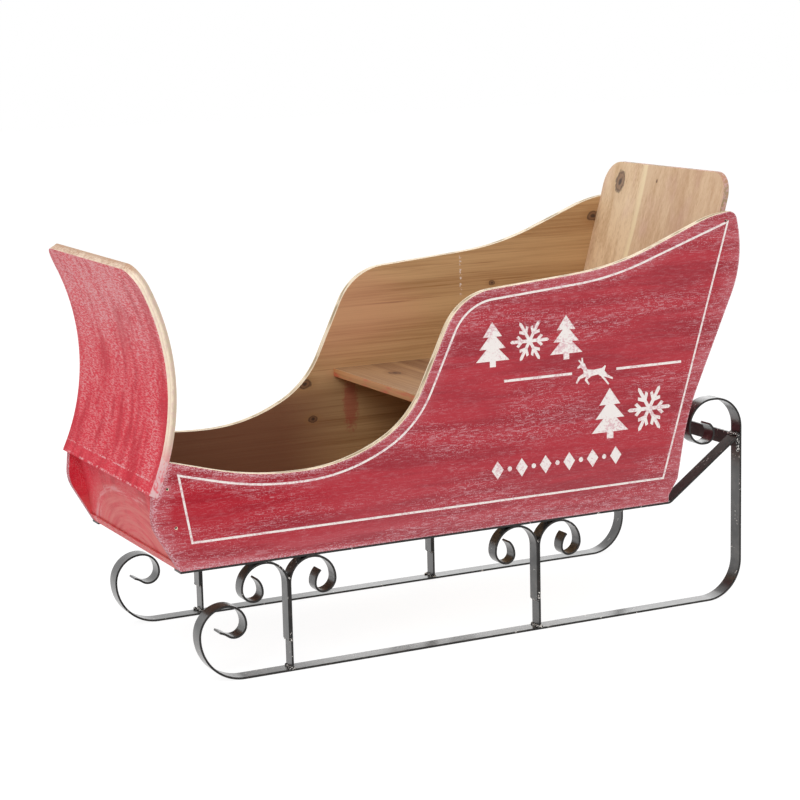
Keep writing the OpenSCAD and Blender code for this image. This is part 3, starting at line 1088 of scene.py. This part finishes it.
def grey(level):
    """A grey as a socket's value."""
    return (level, level, level, 1)


class SLEIGH_OT_stage(Operator):
    """Makes the floor, the light and the camera."""

    bl_idname = "sleigh.stage"
    bl_label = "Stage"

    def execute(self, context):
        stage = context.scene.sleigh_stage
        context.scene.view_settings.view_transform = "Standard"
        self.make_floor(stage)
        self.make_world(context.scene, stage)
        middle = (CAD_BOX[0] + CAD_BOX[1]) / 2
        for name, place, size, power in LAMPS:
            self.make_lamp(name, Vector(place), middle, size, power)
        self.make_camera(context.scene, stage)
        return {"FINISHED"}

    def make_floor(self, stage):
        """Pale floor that the camera sees as almost plain white."""
        bm = bmesh.new()
        bmesh.ops.create_grid(bm, x_segments=8, y_segments=8, size=stage.floor_size)
        mesh = bpy.data.meshes.new("floor")
        bm.to_mesh(mesh)
        bm.free()
        floor = bpy.data.objects.new("floor", mesh)
        floor.location.z = -stage.floor_drop
        bpy.context.scene.collection.objects.link(floor)
        made, place = new_material("floor_white")
        matt = place.node("ShaderNodeBsdfDiffuse", inputs={"Color": grey(0.9)})
        faint = place.node("ShaderNodeBsdfDiffuse", inputs={"Color": grey(0.22)})
        white = place.node("ShaderNodeEmission", inputs={"Color": grey(1), "Strength": stage.floor_glow})
        seen = place.node("ShaderNodeAddShader", inputs={0: faint, 1: white})
        shader = place.node("ShaderNodeMixShader", inputs={0: seen_share(place), 1: matt, 2: seen})
        place.node("ShaderNodeOutputMaterial", inputs={"Surface": shader})
        mesh.materials.append(made)

    def make_world(self, scene, stage):
        """White to the camera, and a softer light from all round."""
        world = bpy.data.worlds.new("studio")
        world.use_nodes = True
        world.node_tree.nodes.clear()
        start = Wire(world.node_tree)
        share = seen_share(start)
        strength = share + (1 - share) * stage.ambient
        light = start.node("ShaderNodeBackground", inputs={"Color": grey(1), "Strength": strength})
        start.node("ShaderNodeOutputWorld", inputs={"Surface": light})
        scene.world = world

    def make_lamp(self, name, place, target, size, power):
        """A square lamp that faces a target."""
        light = bpy.data.lights.new(name, "AREA")
        light.size = size
        light.energy = power
        lamp = bpy.data.objects.new(name, light)
        lamp.location = place
        lamp.rotation_euler = (target - place).to_track_quat("-Z", "Y").to_euler()
        bpy.context.scene.collection.objects.link(lamp)

    def make_camera(self, scene, stage):
        """The camera at the photograph's viewing angle."""
        lens = bpy.data.cameras.new("camera")
        lens.lens = stage.focal
        lens.sensor_width = 36
        camera = bpy.data.objects.new("camera", lens)
        turned = Matrix.Rotation(pi - stage.camera_turn, 4, "Z")
        tilted = Matrix.Rotation(pi / 2 - stage.camera_tilt, 4, "X")
        rolled = Matrix.Rotation(stage.camera_roll, 4, "Z")
        camera.matrix_world = Matrix.Translation(stage.camera_place) @ turned @ tilted @ rolled
        scene.collection.objects.link(camera)
        scene.camera = camera


class SLEIGH_PT_build(Panel):
    """Lists the steps that dress the sleigh."""

    bl_label = "Sleigh"
    bl_idname = "SLEIGH_PT_build"
    bl_space_type = "VIEW_3D"
    bl_region_type = "UI"
    bl_category = "Sleigh"

    def draw(self, context):
        for step in STEPS:
            self.layout.operator(step.bl_idname)


STEPS = (
    SLEIGH_OT_finishes,
    SLEIGH_OT_side_panels,
    SLEIGH_OT_front,
    SLEIGH_OT_boards,
    SLEIGH_OT_iron,
    SLEIGH_OT_welds,
    SLEIGH_OT_stage,
)
SETTINGS = {"sleigh_colours": SleighColours, "sleigh_sizes": SleighSizes, "sleigh_stage": SleighStage}


def register():
    """Registers the settings, the operators and the panel."""
    for group in (*SETTINGS.values(), *STEPS, SLEIGH_PT_build):
        bpy.utils.register_class(group)
    for name, group in SETTINGS.items():
        setattr(bpy.types.Scene, name, PointerProperty(type=group))


def unregister():
    """Removes them again."""
    for name in SETTINGS:
        delattr(bpy.types.Scene, name)
    for group in reversed((*SETTINGS.values(), *STEPS, SLEIGH_PT_build)):
        bpy.utils.unregister_class(group)


def main():
    """Dresses the frame step by step."""
    register()
    bpy.ops.sleigh.finishes()
    bpy.ops.sleigh.side_panels()
    bpy.ops.sleigh.front()
    bpy.ops.sleigh.boards()
    bpy.ops.sleigh.iron()
    bpy.ops.sleigh.welds()
    bpy.ops.sleigh.stage()


if __name__ == "__main__":
    main()
